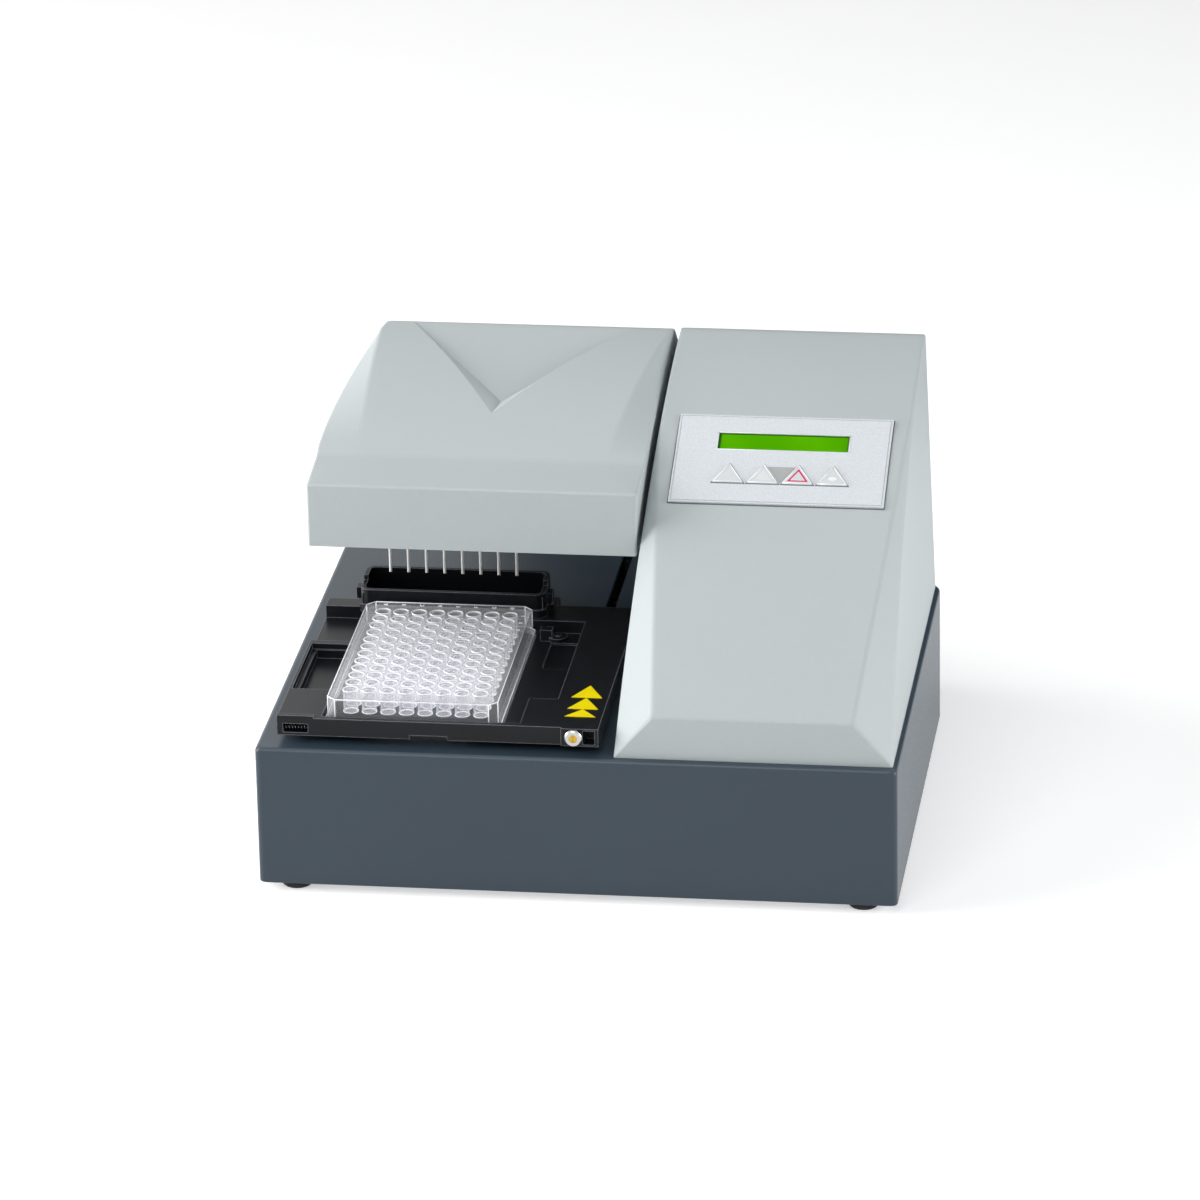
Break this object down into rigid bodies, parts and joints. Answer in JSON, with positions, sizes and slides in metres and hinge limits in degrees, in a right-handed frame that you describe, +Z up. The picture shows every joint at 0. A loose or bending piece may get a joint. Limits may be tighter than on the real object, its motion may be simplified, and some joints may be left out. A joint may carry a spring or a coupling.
{
  "type": "microplate washer",
  "caption": "Bench-top microplate washer: needle wash head over a sliding plate carrier with waste trough, beside a tower with display and keys.",
  "frame": {"origin": "under the middle of the whole, on the surface it stands on", "axes": "+Z up, the front faces -Y, +X runs to the tower's side"},
  "size_m": [0.308, 0.305, 0.2105],
  "materials": {
    "slate_plastic": "satin, dark slate blue-grey",
    "zinc_steel": "plain zinc-plated sheet",
    "foot_rubber": "matte black rubber",
    "screw_steel": "plated steel",
    "cover_plastic": "fine-grained pale grey plastic",
    "panel_silver": "silver foil with a fine grain",
    "lcd_green": "lit green display window",
    "board_green": "green circuit board",
    "key_grey": "pale grey keys",
    "indicator_grey": "mid grey",
    "carrier_black": "satin black plastic",
    "pad_white": "white plastic",
    "knob_chrome": "polished",
    "insert_brass": "bare brass",
    "caution_yellow": "yellow film with plain dark marks",
    "plate_clear": "clear polystyrene",
    "machined_alu": "machined and anodised",
    "bush_bronze": "sintered bronze",
    "belt_rubber": "black toothed belt",
    "motor_black": "black motor case",
    "manifold_dark": "dark grey block",
    "needle_steel": "drawn stainless tube",
    "shaft_steel": "ground steel",
    "tube_clear": "soft clear tube",
    "inlet_black": "black moulding"
  },
  "bodies": {
    "base": {"base_housing": "slate_plastic", "bottom_plate": "zinc_steel", "rubber_feet": "foot_rubber", "bottom_screws": "screw_steel", "rear_panel": "zinc_steel", "rear_panel_screws": "screw_steel", "tower_cover": "cover_plastic", "cover_screws": "screw_steel", "stop_pin": "screw_steel", "control_panel": "panel_silver", "lcd_window": "lcd_green", "lcd_module": "board_green", "key_board": "board_green", "indicator": "indicator_grey", "slide_shaft": "shaft_steel", "shaft_supports": "machined_alu", "carrier_belt": "belt_rubber", "idler_bracket": "machined_alu", "carrier_motor": "motor_black", "motor_bracket": "zinc_steel", "lift_frame": "machined_alu", "lift_shafts": "shaft_steel", "lift_motor": "motor_black", "dispense_pump": "motor_black", "valve_block": "machined_alu", "inner_tubes": "tube_clear", "main_board": "board_green", "power_supply": "zinc_steel", "power_inlet": "inlet_black", "data_port": "zinc_steel", "hose_barbs": "pad_white"},
    "carrier": {"plate_carrier": "carrier_black", "waste_trough": "carrier_black", "glide_pads": "pad_white", "clamp_pivot": "carrier_black", "caution_triangles": "caution_yellow", "carrier_bracket": "machined_alu", "bracket_screws": "screw_steel", "slide_bushings": "bush_bronze", "belt_clamp": "machined_alu"},
    "head": {"head_cover": "cover_plastic", "head_chassis": "machined_alu", "head_screws": "screw_steel", "wash_manifold": "manifold_dark", "needles": "needle_steel", "lift_arm": "machined_alu", "lift_bushings": "bush_bronze", "lift_nut": "insert_brass"},
    "left_key": {"left_key": "key_grey"},
    "middle_key": {"middle_key": "key_grey"},
    "stop_key": {"stop_key": "key_grey"},
    "right_key": {"right_key": "key_grey"},
    "clamp": {"clamp_lever": "carrier_black"},
    "knob": {"lock_knob": "knob_chrome", "lock_insert": "insert_brass"},
    "microplate": {"microplate": "plate_clear"},
    "motor_pulley": {"motor_pulley": "machined_alu"},
    "idler_pulley": {"idler_pulley": "machined_alu"},
    "lift_screw": {"lift_screw": "shaft_steel"},
    "power_switch": {"power_switch": "inlet_black"}
  },
  "joints": [
    {"name": "carrier_slide", "type": "slide", "parent": "base", "child": "carrier", "axis": [0, 1, 0], "range_m": [0, 0.125]},
    {"name": "head_lift", "type": "slide", "parent": "base", "child": "head", "axis": [0, 0, 1], "range_m": [-0.0205, 0]},
    {"name": "left_key_press", "type": "slide", "parent": "base", "child": "left_key", "axis": [0, 0.4032, -0.9151], "range_m": [0, 0.0006], "stiffness_N_per_m": 500},
    {"name": "middle_key_press", "type": "slide", "parent": "base", "child": "middle_key", "axis": [0, 0.4032, -0.9151], "range_m": [0, 0.0006], "stiffness_N_per_m": 500},
    {"name": "stop_key_press", "type": "slide", "parent": "base", "child": "stop_key", "axis": [0, 0.4032, -0.9151], "range_m": [0, 0.0006], "stiffness_N_per_m": 500},
    {"name": "right_key_press", "type": "slide", "parent": "base", "child": "right_key", "axis": [0, 0.4032, -0.9151], "range_m": [0, 0.0006], "stiffness_N_per_m": 500},
    {"name": "clamp_swing", "type": "hinge", "parent": "carrier", "child": "clamp", "pos_m": [-0.02526, -0.02212, 0.0845], "axis": [0, 0, 1], "range_deg": [0, 25], "stiffness_Nm_per_rad": 0.02},
    {"name": "knob_turn", "type": "hinge", "parent": "carrier", "child": "knob", "pos_m": [-0.00076, -0.14598, 0.0832], "axis": [0, 1, 0], "range_deg": [0, 90]},
    {"name": "plate_lift_off", "type": "slide", "parent": "carrier", "child": "microplate", "axis": [0, 0, 1], "range_m": [0, 0.01]},
    {"name": "motor_spin", "type": "hinge", "parent": "base", "child": "motor_pulley", "pos_m": [0.01474, 0.1095, 0.0565], "axis": [0, 0, 1], "range_deg": [-830, 1]},
    {"name": "idler_spin", "type": "hinge", "parent": "base", "child": "idler_pulley", "pos_m": [0.01474, -0.1165, 0.0565], "axis": [0, 0, 1], "range_deg": [-830, 1]},
    {"name": "screw_spin", "type": "hinge", "parent": "base", "child": "lift_screw", "pos_m": [0.054, 0.0435, 0.1155], "axis": [0, 0, 1], "range_deg": [-1560, 1]},
    {"name": "switch_rock", "type": "hinge", "parent": "base", "child": "power_switch", "pos_m": [0.043, 0.1329, 0.0355], "axis": [1, 0, 0], "range_deg": [-16, 0]}
  ],
  "couplings": [
    {"joint": "motor_spin", "follows": "carrier_slide", "rad_per_m": -111.11},
    {"joint": "idler_spin", "follows": "carrier_slide", "rad_per_m": -111.11},
    {"joint": "screw_spin", "follows": "head_lift", "rad_per_m": 1256.6}
  ]
}
